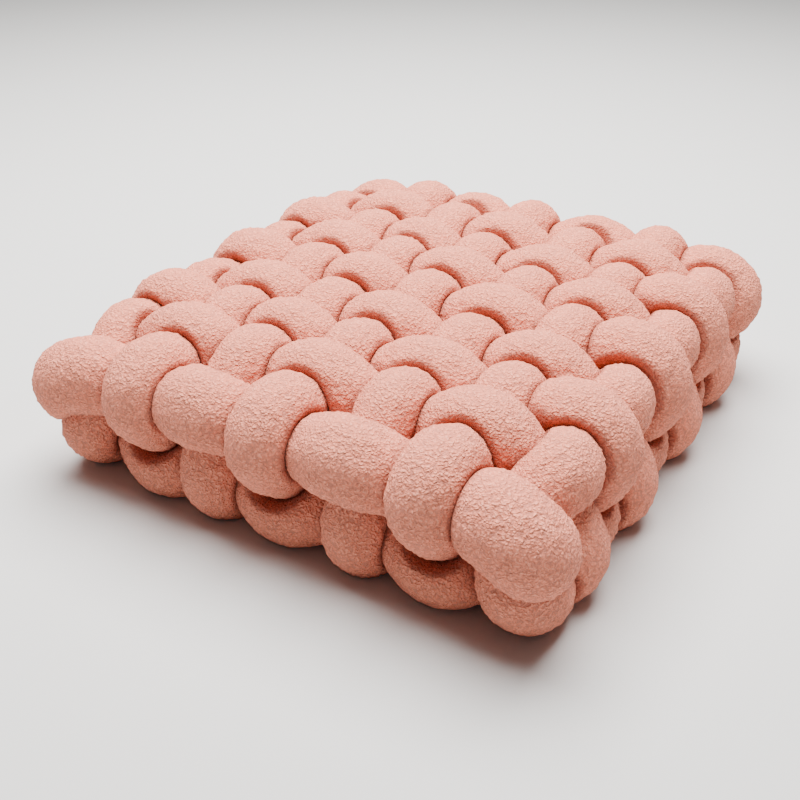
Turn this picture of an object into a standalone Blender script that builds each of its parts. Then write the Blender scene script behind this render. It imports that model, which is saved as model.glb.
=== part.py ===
"""Chair pad, hand woven from thick stuffed tubes of boucle cloth.

The weave is plain and has two layers, top and under. Nine cross tubes and seven long tubes each run once
round the pad, over the top, down an edge and back underneath, and close into a ring. Where two tubes
cross, one lies outside and the other inside, by turns along each tube and on round the edges. Each tube
is a round tube that its neighbours squeeze, so it bulges where it is free and is flat where they meet.

Units are metres. +X runs across the long tubes, +Y along them, +Z up. The pad rests on z = 0 and its
origin is under the middle of its box.
"""

from collections import namedtuple
from dataclasses import dataclass
from math import cos, pi, radians, sin

import bmesh
import bpy
import numpy as np

# The tubes lie at an even pitch. Woven by hand, each strays from its place by up to the sway, which
# turns by a fixed angle from one tube to the next.
COLUMNS = 7
ROWS = 9
COLUMN_PITCH = 0.060
ROW_PITCH = 0.050
SWAY = 0.004
SWAY_TURN = radians(100)

# Tube radius where a tube lies halfway between outside and inside, and the share it swells outside.
CROSS_TUBE_RADIUS = 0.0250
LONG_TUBE_RADIUS = 0.0223
SWELL = 0.22

# How far a tube's middle moves out of its layer where it is outside, and in where it is inside.
LIFT_OUT = 0.0070
LIFT_IN = 0.0107

# At the rim the layers lean outwards, and an outer tube bends round the inner one at a fixed distance.
RIM_LEAN = radians(44)
RIM_WRAP = 0.0213
RIM_OVER = radians(-5)
RIM_ROUND = radians(67)

# The two layers. Middle is the layer's height over the pad's middle plane, which the crown lowers
# towards the rim. A tube at the rim lies lower by its drop, and is set in by its inset.
Layer = namedtuple("Layer", "side middle crown drop drop_corner inset_x inset_y")
TOP = Layer(1, 0.033, 0.045, 0.008, 0.006, 0.000, 0.000)
UNDER = Layer(-1, 0.0335, 0.000, 0.000, 0.006, 0.000, 0.015)
CROWN_REACH_X = COLUMN_PITCH * (COLUMNS - 1) / 2
CROWN_REACH_Y = ROW_PITCH * (ROWS - 1) / 2

# Height of the middle plane over the surface the pad rests on, which presses the lowest tubes flat.
MIDDLE_HEIGHT = 0.0645

# Half the room left between two tubes that press on each other, and the least that is left of a tube.
CLEARANCE = 0.00025
LEAST_RADIUS = 0.0030
TRIM_ROUNDS = 6

# A tube also presses on its own run in the other layer: the part of it that is this far along the ring.
OWN_RUN_APART = 0.090
NEIGHBOUR_REACH = 0.090

# Mesh: steps from one knot of a tube to the next, on the mesh and on the finer line neighbours feel.
CROSS_TUBE_STEPS = 4
LONG_TUBE_STEPS = 3
FINE_STEPS = 12
TUBE_SIDES = 8

# Places on a facet, as shares of its three corners, that are tested against the neighbours.
FACET_SAMPLES = (
    (1.0, 0.0, 0.0),
    (0.5, 0.5, 0.0),
    (0.0, 0.5, 0.5),
    (0.5, 0.0, 0.5),
    (1 / 3, 1 / 3, 1 / 3),
    (2 / 3, 1 / 6, 1 / 6),
    (1 / 6, 2 / 3, 1 / 6),
    (1 / 6, 1 / 6, 2 / 3),
)
TINY = 1e-9

BLUSH_PINK = (0.776, 0.376, 0.296)
BOUCLE_ROUGHNESS = 0.95


@dataclass
class Tube:
    """One woven ring: its mesh's middle line and the finer line that its neighbours feel."""

    name: str
    middles: np.ndarray
    radii: np.ndarray
    fine_middles: np.ndarray

    def along_ring(self, ring):
        """Return how far each fine point is from one ring of the mesh, measured along the tube."""
        fine = len(self.fine_middles)
        steps = np.abs(np.arange(fine) - ring * fine // len(self.middles))
        step = np.linalg.norm(self.fine_middles - np.roll(self.fine_middles, 1, axis=0), axis=1).mean()
        return np.minimum(steps, fine - steps) * step


def rim_side(index, count):
    """Return -1 or 1 for the first or last of a row of tubes, and 0 between them."""
    return (index == count - 1) - (index == 0)


def tube_place(index, count, pitch):
    """Return where one of a row of tubes lies: its even place and its sway."""
    return (index - (count - 1) / 2) * pitch + SWAY * sin(index * SWAY_TURN)


def crossing(layer, column, row):
    """Return the middle of a crossing in a layer."""
    side_x = rim_side(column, COLUMNS)
    side_y = rim_side(row, ROWS)
    x = tube_place(column, COLUMNS, COLUMN_PITCH)
    y = tube_place(row, ROWS, ROW_PITCH)
    fall = layer.crown * ((x / CROWN_REACH_X) ** 2 + (y / CROWN_REACH_Y) ** 2) / 2.0
    height = layer.middle * (1.0 - fall)
    height -= layer.drop * (abs(side_x) + abs(side_y))
    height -= layer.drop_corner * abs(side_x * side_y)
    x -= side_x * layer.inset_x
    y -= side_y * layer.inset_y
    return np.array((x, y, layer.side * height))


def leaning(axis, angle, layer, length):
    """Return a vector of a length that leans by an angle from a layer's outward side to an axis."""
    vector = np.zeros(3)
    vector[axis] = sin(angle) * length
    vector[2] = cos(angle) * length * layer.side
    return vector


def lies_outside(is_cross_tube, layer, column, row):
    """Tell whether a tube is the outer one at a crossing: the cross tubes are at the top's corners."""
    cross_is_outside = (column + row) % 2 == (0 if layer.side > 0 else 1)
    return cross_is_outside == is_cross_tube


def ring_knots(is_cross_tube, index):
    """Return the knots of a tube's middle line on its way round the pad, and 1 outside or -1 inside.

    A tube has one knot at a crossing, but two where it bends round the outside of a tube at the rim.
    """
    way, across = (0, 1) if is_cross_tube else (1, 0)
    counts = (COLUMNS, ROWS)
    stops = [(TOP, step) for step in range(counts[way])]
    stops += [(UNDER, step) for step in reversed(range(counts[way]))]
    lean_across = RIM_LEAN * rim_side(index, counts[across])
    knots = []
    turns = []
    for layer, step in stops:
        column, row = (step, index) if is_cross_tube else (index, step)
        place = crossing(layer, column, row)
        turn = 1 if lies_outside(is_cross_tube, layer, column, row) else -1
        lift = LIFT_OUT if turn > 0 else -LIFT_IN
        end = rim_side(step, counts[way])
        if end == 0:
            knots.append(place + leaning(across, lean_across, layer, lift))
            turns.append(turn)
            continue
        held_in = place + leaning(way, RIM_LEAN * end, layer, -LIFT_IN)
        held_in[across] += sin(lean_across) * lift
        if turn < 0:
            knots.append(held_in)
            turns.append(turn)
            continue
        bends = (RIM_OVER, RIM_ROUND) if end * layer.side > 0 else (RIM_ROUND, RIM_OVER)
        for angle in bends:
            knots.append(held_in + leaning(way, angle * end, layer, RIM_WRAP))
            turns.append(turn)
    return np.array(knots), np.array(turns, dtype=float)


def closed_cubic(knots, steps):
    """Return points on a smooth closed cubic through the knots, with a number of steps between them."""
    count = len(knots)
    after = np.roll(knots, -1, axis=0)
    spans = np.linalg.norm(after - knots, axis=1) ** 0.5
    before = np.roll(spans, 1)
    slopes = (after - knots) / spans[:, None]
    system = np.zeros((count, count))
    for here in range(count):
        system[here, here - 1] += spans[here]
        system[here, here] += 2.0 * (spans[here] + before[here])
        system[here, (here + 1) % count] += before[here]
    right_side = 3.0 * (spans[:, None] * np.roll(slopes, 1, axis=0) + before[:, None] * slopes)
    tangents = np.linalg.solve(system, right_side)
    points = []
    for here in range(count):
        span = spans[here]
        ahead = (here + 1) % count
        for t in np.arange(steps) / steps:
            points.append(
                (2 * t**3 - 3 * t**2 + 1) * knots[here]
                + (t**3 - 2 * t**2 + t) * span * tangents[here]
                + (3 * t**2 - 2 * t**3) * knots[ahead]
                + (t**3 - t**2) * span * tangents[ahead]
            )
    return np.array(points)


def swelling_radii(radius, turns, steps):
    """Return the radius along a ring, larger outside than inside, with a cosine ease between them."""
    radii = []
    for turn, next_turn in zip(turns, np.roll(turns, -1)):
        for t in np.arange(steps) / steps:
            ease = (1.0 - cos(pi * t)) / 2.0
            radii.append(radius * (1.0 + SWELL * (turn + (next_turn - turn) * ease)))
    return np.array(radii)


def lay_tube(is_cross_tube, index):
    """Return one tube of the weave, laid along its way round the pad."""
    knots, turns = ring_knots(is_cross_tube, index)
    radius = CROSS_TUBE_RADIUS if is_cross_tube else LONG_TUBE_RADIUS
    steps = CROSS_TUBE_STEPS if is_cross_tube else LONG_TUBE_STEPS
    prefix = "cross_tube" if is_cross_tube else "long_tube"
    return Tube(
        name=f"{prefix}_{index + 1}",
        middles=closed_cubic(knots, steps),
        radii=swelling_radii(radius, turns, steps),
        fine_middles=closed_cubic(knots, FINE_STEPS),
    )


def round_tube_mesh(tube):
    """Return the mesh of a closed round tube along the tube's middle line, ring by ring."""
    curve = bpy.data.curves.new(tube.name, "CURVE")
    curve.dimensions = "3D"
    curve.twist_mode = "MINIMUM"
    curve.bevel_depth = 1.0
    curve.bevel_resolution = (TUBE_SIDES - 4) // 2
    spline = curve.splines.new("POLY")
    spline.points.add(len(tube.middles) - 1)
    spline.use_cyclic_u = True
    for point, middle, radius in zip(spline.points, tube.middles, tube.radii):
        point.co = (*middle, 1.0)
        point.radius = radius
        point.tilt = pi / TUBE_SIDES
    guide = bpy.data.objects.new(tube.name, curve)
    bpy.context.scene.collection.objects.link(guide)
    bpy.context.view_layer.update()
    mesh = bpy.data.meshes.new_from_object(guide.evaluated_get(bpy.context.evaluated_depsgraph_get()))
    bpy.data.objects.remove(guide)
    bpy.data.curves.remove(curve)
    return mesh


def pressing_on(tube, ring, others):
    """Return the fine middles of all that can press on one ring of a tube."""
    far_along = tube.along_ring(ring) > OWN_RUN_APART
    middles = np.concatenate([other.fine_middles for other in others] + [tube.fine_middles[far_along]])
    near = np.linalg.norm(middles - tube.middles[ring], axis=1) < NEIGHBOUR_REACH
    return middles[near]


def contact_limits(tube, direction, others):
    """Return how far each point can stand from its ring's middle before a neighbour pushes as hard.

    Two tubes meet halfway between their middles, so neither overlaps the other.
    """
    limits = np.full(direction.shape[:2], np.inf)
    for ring, middle in enumerate(tube.middles):
        towards = pressing_on(tube, ring, others) - middle
        along = direction[ring] @ towards.T
        halfway = (towards**2).sum(axis=1) / (2.0 * np.abs(along) + TINY)
        limits[ring] = np.where(along > 0.0, halfway, np.inf).min(axis=1)
    return limits


def overreach(points, rings, tube, others):
    """Return how far points of a tube's facets lie past the surface where its neighbours meet it."""
    past = np.empty(len(points))
    for ring in np.unique(rings):
        chosen = rings == ring
        here = points[chosen]
        far = pressing_on(tube, ring, others)
        own = tube.fine_middles[tube.along_ring(ring) < OWN_RUN_APART / 2.0]
        own_squares = ((here[:, None] - own) ** 2).sum(axis=2)
        far_squares = ((here[:, None] - far) ** 2).sum(axis=2)
        between = own[own_squares.argmin(axis=1)] - far[far_squares.argmin(axis=1)]
        difference = own_squares.min(axis=1) - far_squares.min(axis=1)
        past[chosen] = difference / (2.0 * np.linalg.norm(between, axis=1))
    return past


def trimmed_points(tube, surface, faces, others):
    """Press a round tube's points back from its neighbours, then trim its flat facets clear of them."""
    reach = surface - tube.middles[:, None, :]
    length = np.linalg.norm(reach, axis=2)
    direction = reach / length[..., None]
    length = np.clip(contact_limits(tube, direction, others) - CLEARANCE, LEAST_RADIUS, length).reshape(-1)
    direction = direction.reshape(-1, 3)
    middles = np.repeat(tube.middles, TUBE_SIDES, axis=0)
    corner_rings = np.repeat(np.arange(len(tube.middles)), TUBE_SIDES)
    weights = np.array(FACET_SAMPLES)
    for _ in range(TRIM_ROUNDS):
        points = middles + direction * length[:, None]
        samples = np.einsum("sc,fcx->fsx", weights, points[faces])
        rings = np.repeat(corner_rings[faces[:, 0]], len(weights))
        past = overreach(samples.reshape(-1, 3), rings, tube, others).reshape(len(faces), -1) + CLEARANCE
        pull = np.zeros(len(length))
        for corner in range(3):
            touched = weights[:, corner] > 0.0
            np.maximum.at(pull, faces[:, corner], past[:, touched].max(axis=1))
        length = np.maximum(length - pull, LEAST_RADIUS)
    return middles + direction * length[:, None]


def boucle_material(name):
    """Return a matt blush pink cloth material."""
    material = bpy.data.materials.new(name)
    material.use_nodes = True
    shader = material.node_tree.nodes["Principled BSDF"]
    shader.inputs["Base Color"].default_value = (*BLUSH_PINK, 1.0)
    shader.inputs["Roughness"].default_value = BOUCLE_ROUGHNESS
    shader.inputs["Metallic"].default_value = 0.0
    return material


def triangulate(mesh):
    """Split the mesh's faces into triangles that point outwards, and return their corners."""
    shape = bmesh.new()
    shape.from_mesh(mesh)
    bmesh.ops.triangulate(shape, faces=shape.faces)
    bmesh.ops.recalc_face_normals(shape, faces=shape.faces)
    shape.to_mesh(mesh)
    shape.free()
    return np.array([face.vertices[:] for face in mesh.polygons])


def main():
    """Weave the tubes, press them together, and rest the pad on z = 0."""
    for thing in list(bpy.data.objects):
        bpy.data.objects.remove(thing)
    collection = bpy.data.collections.new("woven_chair_pad")
    bpy.context.scene.collection.children.link(collection)

    tubes = [lay_tube(True, row) for row in range(ROWS)]
    tubes += [lay_tube(False, column) for column in range(COLUMNS)]
    meshes = []
    surfaces = []
    for tube in tubes:
        mesh = round_tube_mesh(tube)
        faces = triangulate(mesh)
        corners = np.array([vertex.co[:] for vertex in mesh.vertices])
        surface = corners.reshape(len(tube.middles), TUBE_SIDES, 3)
        others = [other for other in tubes if other is not tube]
        meshes.append(mesh)
        surfaces.append(trimmed_points(tube, surface, faces, others))

    low = np.min([surface.min(axis=0) for surface in surfaces], axis=0)
    high = np.max([surface.max(axis=0) for surface in surfaces], axis=0)
    origin = np.array(((low[0] + high[0]) / 2.0, (low[1] + high[1]) / 2.0, -MIDDLE_HEIGHT))
    for tube, mesh, surface in zip(tubes, meshes, surfaces):
        points = surface - origin
        points[:, 2] = np.maximum(points[:, 2], 0.0)
        mesh.vertices.foreach_set("co", points.reshape(-1))
        mesh.shade_smooth()
        mesh.materials.clear()
        mesh.materials.append(boucle_material(f"boucle_{tube.name}"))
        collection.objects.link(bpy.data.objects.new(tube.name, mesh))


if __name__ == "__main__":
    main()
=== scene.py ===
"""Looks of a chair pad that is hand woven from thick stuffed tubes of boucle cloth.

The weave is plain and has two layers. Nine cross tubes and seven long tubes each run once round the pad,
over the top, down an edge and back underneath. Every tube is drawn here as a fine skin that its
neighbours squeeze, and is dressed in a curly boucle pile. Units are metres, +Z is up.
"""

import logging
from dataclasses import dataclass
from enum import Enum
from math import cos, pi, radians, sin

import bmesh
import bpy
import numpy as np
from mathutils import Matrix, Vector, noise

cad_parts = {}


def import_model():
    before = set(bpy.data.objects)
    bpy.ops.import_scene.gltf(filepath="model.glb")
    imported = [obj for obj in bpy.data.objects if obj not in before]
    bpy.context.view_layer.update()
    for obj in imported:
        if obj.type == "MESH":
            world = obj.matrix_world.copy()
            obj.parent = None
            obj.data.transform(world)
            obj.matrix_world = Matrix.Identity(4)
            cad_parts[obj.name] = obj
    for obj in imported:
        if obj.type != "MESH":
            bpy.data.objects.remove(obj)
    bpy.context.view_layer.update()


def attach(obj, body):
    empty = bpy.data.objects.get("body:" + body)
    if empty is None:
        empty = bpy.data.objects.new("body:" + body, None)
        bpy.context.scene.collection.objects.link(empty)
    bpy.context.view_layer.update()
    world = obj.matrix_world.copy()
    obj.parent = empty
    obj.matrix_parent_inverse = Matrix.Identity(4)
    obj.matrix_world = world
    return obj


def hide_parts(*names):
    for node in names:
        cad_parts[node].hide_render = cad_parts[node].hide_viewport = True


log = logging.getLogger("woven_chair_pad")

MILLIMETRE = 0.001

# Rings of a skin from one knot of its tube to the next.
CROSS_STEPS = 27
LONG_STEPS = 22

# Vertices this close are the same at a skin's seam, and a number this small is nought.
SEAM = 1e-6
TINY = 1e-9
NOISE_DETAIL = 2.0


class Run(Enum):
    """Which way a tube runs over the pad."""

    CROSS = "cross_tube"
    LONG = "long_tube"

    @property
    def way(self) -> int:
        """Return the axis that the tube runs along: 0 for X, 1 for Y."""
        return 0 if self is Run.CROSS else 1


@dataclass(frozen=True)
class Layer:
    """One layer of the weave: its height off the middle plane, and how it falls away at the rim."""

    side: int
    middle: float
    crown: float
    drop: float
    drop_corner: float
    inset_x: float
    inset_y: float


@dataclass
class Path3:
    """The middle line of one tube, ring by ring, with what the skin needs there."""

    run: Run
    index: int
    middles: np.ndarray
    outward: np.ndarray
    radii: np.ndarray

    @property
    def name(self) -> str:
        """Return the name of the CAD node that this tube stands for."""
        return f"{self.run.value}_{self.index + 1}"


@dataclass
class Weave:
    """The weave's driving sizes, and the middle lines of its tubes."""

    counts: tuple[int, int] = (7, 9)
    pitches: tuple[float, float] = (0.060, 0.050)
    sway: float = 0.004
    sway_turn: float = radians(100)
    cross_radius: float = 0.0250
    long_radius: float = 0.0223
    swell: float = 0.22
    lift_out: float = 0.0070
    lift_in: float = 0.0107
    rim_lean: float = radians(44)
    rim_wrap: float = 0.0213
    rim_over: float = radians(-5)
    rim_round: float = radians(67)
    middle_height: float = 0.0645
    top: Layer = Layer(1, 0.033, 0.045, 0.008, 0.006, 0.000, 0.000)
    under: Layer = Layer(-1, 0.0335, 0.000, 0.000, 0.006, 0.000, 0.015)

    @staticmethod
    def rim_side(index: int, count: int) -> int:
        """Return -1 or 1 for the first or last of a row of tubes, and 0 between them."""
        return (index == count - 1) - (index == 0)

    def tube_place(self, axis: int, index: int) -> float:
        """Return where one of a row of tubes lies: its even place and its sway."""
        even = (index - (self.counts[axis] - 1) / 2) * self.pitches[axis]
        return even + self.sway * sin(index * self.sway_turn)

    def crown_fall(self, x: float, y: float) -> float:
        """Return the share of the crown lost at a place: none in the middle, all at a corner."""
        reach = [pitch * (count - 1) / 2 for pitch, count in zip(self.pitches, self.counts)]
        return ((x / reach[0]) ** 2 + (y / reach[1]) ** 2) / 2.0

    def crossing(self, layer: Layer, column: int, row: int) -> np.ndarray:
        """Return the middle of a crossing in a layer."""
        side_x = self.rim_side(column, self.counts[0])
        side_y = self.rim_side(row, self.counts[1])
        x = self.tube_place(0, column)
        y = self.tube_place(1, row)
        fall = layer.crown * self.crown_fall(x, y)
        height = layer.middle * (1.0 - fall)
        height -= layer.drop * (abs(side_x) + abs(side_y))
        height -= layer.drop_corner * abs(side_x * side_y)
        x -= side_x * layer.inset_x
        y -= side_y * layer.inset_y
        return np.array((x, y, layer.side * height))

    @staticmethod
    def leaning(axis: int, angle: float, layer: Layer) -> np.ndarray:
        """Return a unit vector that leans by an angle from a layer's outward side to an axis."""
        vector = np.zeros(3)
        vector[axis] = sin(angle)
        vector[2] = cos(angle) * layer.side
        return vector

    def knots(self, run: Run, index: int) -> tuple[np.ndarray, np.ndarray, np.ndarray]:
        """Work out where a tube passes on its way round the pad.

        Args:
            run: Which way the tube runs.
            index: Its place among the tubes that run that way.

        Returns:
            The knots of its middle line, the way outwards at each, and 1 outside or -1 inside.
        """
        way, across = run.way, 1 - run.way
        stops = [(self.top, step) for step in range(self.counts[way])]
        stops += [(self.under, step) for step in reversed(range(self.counts[way]))]
        lean_across = self.rim_lean * self.rim_side(index, self.counts[across])
        places, outward, turns = [], [], []
        for layer, step in stops:
            column, row = (step, index) if run is Run.CROSS else (index, step)
            place = self.crossing(layer, column, row)
            cross_is_outside = (column + row) % 2 == (0 if layer.side > 0 else 1)
            turn = 1 if cross_is_outside == (run is Run.CROSS) else -1
            lift = self.lift_out if turn > 0 else -self.lift_in
            end = self.rim_side(step, self.counts[way])
            if end == 0:
                away = self.leaning(across, lean_across, layer)
                places.append(place + away * lift)
                outward.append(away)
                turns.append(turn)
                continue
            away = self.leaning(way, self.rim_lean * end, layer)
            held_in = place - away * self.lift_in
            held_in[across] += sin(lean_across) * lift
            if turn < 0:
                places.append(held_in)
                outward.append(away)
                turns.append(turn)
                continue
            bends = [self.rim_over, self.rim_round]
            if end * layer.side < 0:
                bends.reverse()
            for angle in bends:
                away = self.leaning(way, angle * end, layer)
                places.append(held_in + away * self.rim_wrap)
                outward.append(away)
                turns.append(turn)
        return np.array(places), np.array(outward), np.array(turns, dtype=float)

    def lay(self, run: Run, index: int, steps: int) -> Path3:
        """Lay one tube's middle line as a smooth closed curve through its knots.

        Args:
            run: Which way the tube runs.
            index: Its place among the tubes that run that way.
            steps: How many rings lie from one knot to the next.

        Returns:
            The tube's path.
        """
        places, outward, turns = self.knots(run, index)
        after = np.roll(places, -1, axis=0)
        spans = np.linalg.norm(after - places, axis=1) ** 0.5
        tangents = self.cubic_tangents(places, spans)
        share = (np.arange(steps) / steps)[None, :, None]
        span = spans[:, None, None]
        middles = (
            (2 * share**3 - 3 * share**2 + 1) * places[:, None]
            + (share**3 - 2 * share**2 + share) * span * tangents[:, None]
            + (3 * share**2 - 2 * share**3) * after[:, None]
            + (share**3 - share**2) * span * np.roll(tangents, -1, axis=0)[:, None]
        )
        ease = (1.0 - np.cos(pi * share)) / 2.0
        away = outward[:, None] * (1.0 - ease) + np.roll(outward, -1, axis=0)[:, None] * ease
        turned = turns[:, None] * (1.0 - ease[..., 0]) + np.roll(turns, -1)[:, None] * ease[..., 0]
        radius = self.cross_radius if run is Run.CROSS else self.long_radius
        radii = radius * (1.0 + self.swell * turned)
        return Path3(run, index, middles.reshape(-1, 3), away.reshape(-1, 3), radii.reshape(-1))

    @staticmethod
    def cubic_tangents(places: np.ndarray, spans: np.ndarray) -> np.ndarray:
        """Return the tangents that make a closed cubic through some places smooth in its bend."""
        count = len(places)
        before = np.roll(spans, 1)
        slopes = (np.roll(places, -1, axis=0) - places) / spans[:, None]
        system = np.zeros((count, count))
        for here in range(count):
            system[here, here - 1] += spans[here]
            system[here, here] += 2.0 * (spans[here] + before[here])
            system[here, (here + 1) % count] += before[here]
        right_side = 3.0 * (spans[:, None] * np.roll(slopes, 1, axis=0) + before[:, None] * slopes)
        return np.linalg.solve(system, right_side)


def linear(hex_colour: str) -> tuple[float, float, float, float]:
    """Return a linear RGBA colour from an sRGB hex value."""
    channels = []
    for place in (0, 2, 4):
        value = int(hex_colour[place : place + 2], 16) / 255.0
        channels.append(value / 12.92 if value <= 0.04045 else ((value + 0.055) / 1.055) ** 2.4)
    return (*channels, 1.0)


def add_node(tree: bpy.types.NodeTree, kind: str, settings: dict, links: dict) -> bpy.types.Node:
    """Add a shader node.

    Args:
        tree: The material's node tree.
        kind: The node's type name.
        settings: Attribute names, or socket names or numbers, with their values.
        links: Socket names or numbers, with the output sockets that feed them.

    Returns:
        The new node.
    """
    node = tree.nodes.new(kind)
    for name, value in settings.items():
        if isinstance(name, str) and hasattr(node, name):
            setattr(node, name, value)
        else:
            node.inputs[name].default_value = value
    for name, source in links.items():
        tree.links.new(source, node.inputs[name])
    return node


@dataclass(frozen=True)
class BoucleFinish:
    """Boucle cloth: looped, curly synthetic yarn in blush pink, with a matt, woolly pile.

    Each loop is a soft nub. The colour pales towards the nub tips and darkens in the yarn between them, a
    painted highlight and painted shade over random tone, so the cloth looks grainy but even. Where two
    tubes come close, the colour is multiplied by a grey, a painted shade in the creases.
    """

    # The paler tip colour is a painted highlight on the nubs, and the darker gap colour is painted shade
    # between them; curl is the yarn's own colour.
    tip_highlight: str = "F89F83"
    curl: str = "EE8769"
    gap_shade_colour: str = "CC7C66"
    # Crease colour: painted shade, multiplied into the cloth where another tube lies close.
    crease_shade_colour: str = "C8C2C0"
    nub_size: float = 2.1 * MILLIMETRE
    strand_size: float = 1.2 * MILLIMETRE
    patch_size: float = 12.0 * MILLIMETRE
    pile_height: float = 1.5 * MILLIMETRE
    wander: float = 1.6
    nub_edge: float = 0.70
    nub_crown: float = 0.05
    nub_share: float = 0.75
    strand_share: float = 0.75
    patch_share: float = 0.1
    gap_shade: float = 0.40
    curl_shade: float = 0.70
    roughness: float = 0.95
    sheen: float = 0.12
    sheen_roughness: float = 0.5

    def material(self) -> bpy.types.Material:
        """Build the cloth's material, with its nubs on object coordinates."""
        material = bpy.data.materials.new("boucle_cloth")
        material.use_nodes = True
        tree = material.node_tree
        shader = tree.nodes["Principled BSDF"]
        place = add_node(tree, "ShaderNodeTexCoord", {}, {}).outputs["Object"]
        reach = self.wander * self.nub_size
        wander = self.noise(tree, place, reach)
        offset = add_node(
            tree,
            "ShaderNodeVectorMath",
            {"operation": "SUBTRACT", 1: (0.5,) * 3},
            {0: wander.outputs["Color"]},
        ).outputs[0]
        bent = add_node(
            tree,
            "ShaderNodeVectorMath",
            {"operation": "MULTIPLY_ADD", 1: (reach,) * 3},
            {0: offset, 2: place},
        ).outputs[0]
        nubs = add_node(
            tree,
            "ShaderNodeTexVoronoi",
            {"feature": "SMOOTH_F1", "Scale": 1.0 / self.nub_size, "Smoothness": 0.5, "Randomness": 1.0},
            {"Vector": bent},
        )
        nub = add_node(
            tree,
            "ShaderNodeMapRange",
            {"From Min": self.nub_edge, "From Max": self.nub_crown, "To Max": self.nub_share},
            {"Value": nubs.outputs["Distance"]},
        ).outputs[0]
        strand = self.noise(tree, bent, self.strand_size).outputs["Fac"]
        height = self.weighted(tree, strand, self.strand_share, nub)
        patch = self.noise(tree, place, self.patch_size).outputs["Fac"]
        shade = self.weighted(tree, patch, self.patch_share, height)
        # Painted highlight and shade: the ramp pales the nub tips and darkens the yarn between nubs, on
        # top of random tone from strands and patches.
        ramp = add_node(tree, "ShaderNodeValToRGB", {}, {"Fac": shade})
        ramp.color_ramp.elements[0].position = self.gap_shade
        ramp.color_ramp.elements[0].color = linear(self.gap_shade_colour)
        ramp.color_ramp.elements[1].position = 1.0
        ramp.color_ramp.elements[1].color = linear(self.tip_highlight)
        ramp.color_ramp.elements.new(self.curl_shade).color = linear(self.curl)
        # Painted shade in the creases: the crease colour is multiplied in where a neighbouring tube lies
        # close.
        crease_shade_mask = add_node(tree, "ShaderNodeAttribute", {"attribute_name": "crease_shade_mask"}, {})
        colour = add_node(
            tree,
            "ShaderNodeMix",
            {"data_type": "RGBA", "blend_type": "MULTIPLY"},
            {0: crease_shade_mask.outputs["Fac"], 6: ramp.outputs["Color"]},
        )
        colour.inputs[7].default_value = linear(self.crease_shade_colour)
        bump = add_node(
            tree, "ShaderNodeBump", {"Strength": 1.0, "Distance": self.pile_height}, {"Height": height}
        )
        tree.links.new(colour.outputs[2], shader.inputs["Base Color"])
        tree.links.new(bump.outputs["Normal"], shader.inputs["Normal"])
        shader.inputs["Roughness"].default_value = self.roughness
        shader.inputs["Sheen Weight"].default_value = self.sheen
        shader.inputs["Sheen Roughness"].default_value = self.sheen_roughness
        shader.inputs["Sheen Tint"].default_value = linear(self.tip_highlight)
        return material

    @staticmethod
    def noise(tree: bpy.types.NodeTree, place: bpy.types.NodeSocket, size: float) -> bpy.types.Node:
        """Add a noise pattern whose lumps are about a given size in metres."""
        settings = {"Scale": 1.0 / size, "Detail": NOISE_DETAIL}
        return add_node(tree, "ShaderNodeTexNoise", settings, {"Vector": place})

    @staticmethod
    def weighted(
        tree: bpy.types.NodeTree, first: bpy.types.NodeSocket, weight: float, second: bpy.types.NodeSocket
    ) -> bpy.types.NodeSocket:
        """Return the first socket times a weight, plus the second socket."""
        settings = {"operation": "MULTIPLY_ADD", 1: weight}
        return add_node(tree, "ShaderNodeMath", settings, {0: first, 2: second}).outputs[0]


@dataclass
class Pressing:
    """A tube's shape as its neighbours press it.

    It holds the skin's points and the ways out to them. Amount says how hard each point is pressed, and
    closeness how near a neighbour is to it, from 0 to 1; closeness is painted into the cloth's colour as
    shade in the creases.
    """

    surface: np.ndarray
    directions: np.ndarray
    amount: np.ndarray
    closeness: np.ndarray


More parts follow.
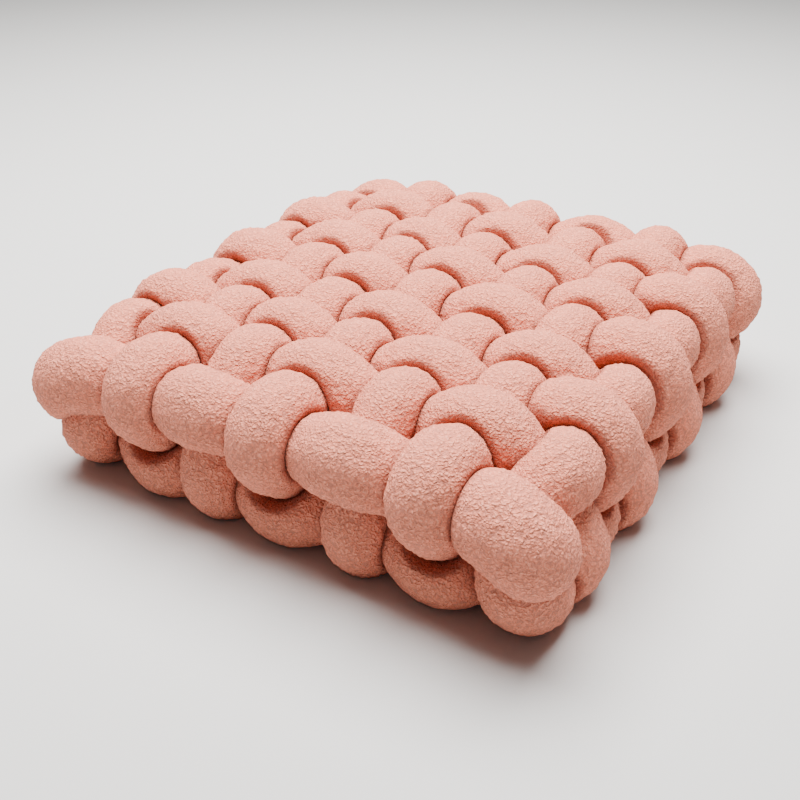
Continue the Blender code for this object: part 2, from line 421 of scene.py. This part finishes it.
@dataclass
class TubeSkin:
    """The fine skin of one stuffed tube, squeezed by the tubes round it."""

    path: Path3
    outer_sides: int = 50
    inner_sides: int = 14
    outer_reach: float = radians(105)
    clearance: float = -0.3 * MILLIMETRE
    give: float = 3.0 * MILLIMETRE
    crease_reach: float = 7.0 * MILLIMETRE
    least_radius: float = 4.0 * MILLIMETRE
    own_run_apart: float = 0.090
    neighbour_reach: float = 0.075
    lump_size: float = 17.0 * MILLIMETRE
    lump_height: float = 0.8 * MILLIMETRE
    tuft_size: float = 3.6 * MILLIMETRE
    tuft_height: float = 1.3 * MILLIMETRE

    def side_angles(self) -> np.ndarray:
        """Return the angles round the tube, close together on its outward part."""
        outer = np.linspace(-self.outer_reach, self.outer_reach, self.outer_sides)
        inner = np.linspace(self.outer_reach, 2.0 * pi - self.outer_reach, self.inner_sides + 2)
        return np.concatenate((outer, inner[1:-1]))

    def directions(self) -> np.ndarray:
        """Return the way from the middle line to each point of the skin, ring by ring."""
        middles = self.path.middles
        along = np.roll(middles, -1, axis=0) - np.roll(middles, 1, axis=0)
        along /= np.linalg.norm(along, axis=1, keepdims=True)
        away = self.path.outward - (self.path.outward * along).sum(axis=1, keepdims=True) * along
        away /= np.linalg.norm(away, axis=1, keepdims=True)
        aside = np.cross(along, away)
        angles = self.side_angles()
        return (
            away[:, None, :] * np.cos(angles)[None, :, None]
            + aside[:, None, :] * np.sin(angles)[None, :, None]
        )

    def limits(self, directions: np.ndarray, others: list[Path3]) -> np.ndarray:
        """Return how far each point can stand from the middle line before a neighbour pushes as hard."""
        own = self.path.middles
        step = np.linalg.norm(own - np.roll(own, 1, axis=0), axis=1).mean()
        felt = np.concatenate([other.middles for other in others])
        limits = np.empty(directions.shape[:2])
        count = len(own)
        for ring, middle in enumerate(own):
            apart = np.abs(np.arange(count) - ring)
            far = np.minimum(apart, count - apart) * step > self.own_run_apart
            towards = np.concatenate((felt, own[far])) - middle
            squares = (towards**2).sum(axis=1)
            near = squares < self.neighbour_reach**2
            towards, squares = towards[near], squares[near]
            facing = directions[ring] @ towards.T
            halfway = np.where(facing > TINY, squares / (2.0 * np.maximum(facing, TINY)), np.inf)
            limits[ring] = halfway.min(axis=1)
        return limits

    def press(self, others: list[Path3]) -> Pressing:
        """Press the round tube against its neighbours.

        Args:
            others: The paths of the other tubes.

        Returns:
            The pressed shape.
        """
        directions = self.directions()
        limits = np.minimum(self.limits(directions, others) - self.clearance, 1.0)
        limits = np.maximum(limits, self.least_radius)
        free = np.broadcast_to(self.path.radii[:, None], limits.shape)
        blend = np.clip(0.5 + 0.5 * (limits - free) / self.give, 0.0, 1.0)
        length = limits * (1.0 - blend) + free * blend - self.give * blend * (1.0 - blend)
        surface = self.path.middles[:, None, :] + directions * length[..., None]
        # Closeness drives the painted crease shade in the cloth's colour.
        closeness = 1.0 - np.clip((limits - free) / self.crease_reach, 0.0, 1.0)
        return Pressing(surface, directions, 1.0 - blend, closeness)

    def relief(self, surface: np.ndarray) -> np.ndarray:
        """Return how far the filling's lumps and the pile's tufts push the skin out at its points."""
        places = surface.reshape(-1, 3)
        lumps = np.array([noise.noise(Vector(place)) for place in places / self.lump_size])
        tufts = np.array([noise.noise(Vector(place)) for place in places / self.tuft_size])
        return (lumps * self.lump_height + tufts * self.tuft_height).reshape(surface.shape[:2])

    def build(self, pressing: Pressing, shift: np.ndarray) -> bpy.types.Object:
        """Make the tube's skin, a grid rolled into a ring of the pressed shape and joined at its seams.

        Args:
            pressing: The tube's shape as its neighbours press it.
            shift: The way from the weave's frame to the pad's.

        Returns:
            The skin, at the origin.
        """
        rings, sides = pressing.amount.shape
        surface = pressing.surface + shift
        free = np.clip(1.0 - pressing.amount * 2.0, 0.0, 1.0)
        surface += pressing.directions * (self.relief(surface) * free)[..., None]
        surface[..., 2] = np.maximum(surface[..., 2], 0.0)

        shape = bmesh.new()
        bmesh.ops.create_grid(shape, x_segments=rings, y_segments=sides, size=1.0)
        # This vertex layer carries closeness to the material as the mask of the painted crease shade.
        crease_shade_mask = shape.verts.layers.float.new("crease_shade_mask")
        for vertex in shape.verts:
            ring = round((vertex.co.x + 1.0) / 2.0 * rings) % rings
            side = round((vertex.co.y + 1.0) / 2.0 * sides) % sides
            vertex.co = surface[ring, side]
            vertex[crease_shade_mask] = pressing.closeness[ring, side]
        bmesh.ops.remove_doubles(shape, verts=shape.verts, dist=SEAM)
        for face in shape.faces:
            face.smooth = True
        bmesh.ops.recalc_face_normals(shape, faces=shape.faces)
        mesh = bpy.data.meshes.new(self.path.name)
        shape.to_mesh(mesh)
        shape.free()
        skin = bpy.data.objects.new(f"{self.path.name}_skin", mesh)
        bpy.context.scene.collection.objects.link(skin)
        return skin


@dataclass
class Studio:
    """The floor, the soft light and the camera."""

    azimuth: float = radians(31.22)
    elevation: float = radians(31.03)
    roll: float = radians(0.08)
    distance: float = 0.681
    lens: float = 45.66
    sensor: float = 36.0
    target: tuple[float, float, float] = (0.0674, -0.1537, 0.1135)
    sky: float = 0.12
    power: float = 148.0
    light_size: float = 1.6
    light_place: tuple[float, float, float] = (-0.25, 0.35, 1.6)
    floor_size: float = 6.0
    floor_colour: str = "D2D0CD"
    floor_roughness: float = 0.9

    def camera(self) -> None:
        """Place the camera."""
        back = Vector(
            (
                sin(self.azimuth) * cos(self.elevation),
                -cos(self.azimuth) * cos(self.elevation),
                sin(self.elevation),
            )
        )
        data = bpy.data.cameras.new("camera")
        data.lens = self.lens
        data.sensor_width = self.sensor
        camera = bpy.data.objects.new("camera", data)
        right = Vector((0, 0, 1)).cross(back).normalized()
        up = back.cross(right)
        turn = Matrix((right, up, back)).transposed().to_4x4() @ Matrix.Rotation(self.roll, 4, "Z")
        camera.matrix_world = Matrix.Translation(Vector(self.target) + back * self.distance) @ turn
        bpy.context.scene.collection.objects.link(camera)
        bpy.context.scene.camera = camera

    def lights(self) -> None:
        """Hang a broad soft light above the pad, and fill the shadows from all round."""
        world = bpy.data.worlds.new("studio")
        world.use_nodes = True
        world.node_tree.nodes["Background"].inputs["Color"].default_value = linear("FFFFFF")
        world.node_tree.nodes["Background"].inputs["Strength"].default_value = self.sky
        bpy.context.scene.world = world
        data = bpy.data.lights.new("overhead", "AREA")
        data.size = self.light_size
        data.energy = self.power
        light = bpy.data.objects.new("overhead", data)
        light.location = self.light_place
        bpy.context.scene.collection.objects.link(light)

    def floor(self) -> None:
        """Lay the pale floor."""
        shape = bmesh.new()
        bmesh.ops.create_grid(shape, x_segments=1, y_segments=1, size=self.floor_size)
        mesh = bpy.data.meshes.new("floor")
        shape.to_mesh(mesh)
        shape.free()
        material = bpy.data.materials.new("matt_white_paper")
        material.use_nodes = True
        shader = material.node_tree.nodes["Principled BSDF"]
        shader.inputs["Base Color"].default_value = linear(self.floor_colour)
        shader.inputs["Roughness"].default_value = self.floor_roughness
        mesh.materials.append(material)
        floor = bpy.data.objects.new("floor", mesh)
        bpy.context.scene.collection.objects.link(floor)


def main() -> None:
    """Weave the pad, dress it, and set up the studio."""
    logging.basicConfig(level=logging.INFO)
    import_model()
    weave = Weave()
    columns, rows = weave.counts
    paths = [weave.lay(Run.CROSS, row, CROSS_STEPS) for row in range(rows)]
    paths += [weave.lay(Run.LONG, column, LONG_STEPS) for column in range(columns)]
    skins = [TubeSkin(path) for path in paths]
    pressings = [skin.press([path for path in paths if path is not skin.path]) for skin in skins]
    low = np.min([pressing.surface.min(axis=(0, 1)) for pressing in pressings], axis=0)
    high = np.max([pressing.surface.max(axis=(0, 1)) for pressing in pressings], axis=0)
    shift = -(low + high) / 2.0
    shift[2] = weave.middle_height
    log.info("shift %s", shift)
    material = BoucleFinish().material()
    for skin, pressing in zip(skins, pressings):
        piece = skin.build(pressing, shift)
        piece.data.materials.append(material)
        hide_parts(skin.path.name)
        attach(piece, "root")
        log.info("%s: %d faces", piece.name, len(piece.data.polygons))
    studio = Studio()
    studio.floor()
    studio.lights()
    studio.camera()


if __name__ == "__main__":
    main()
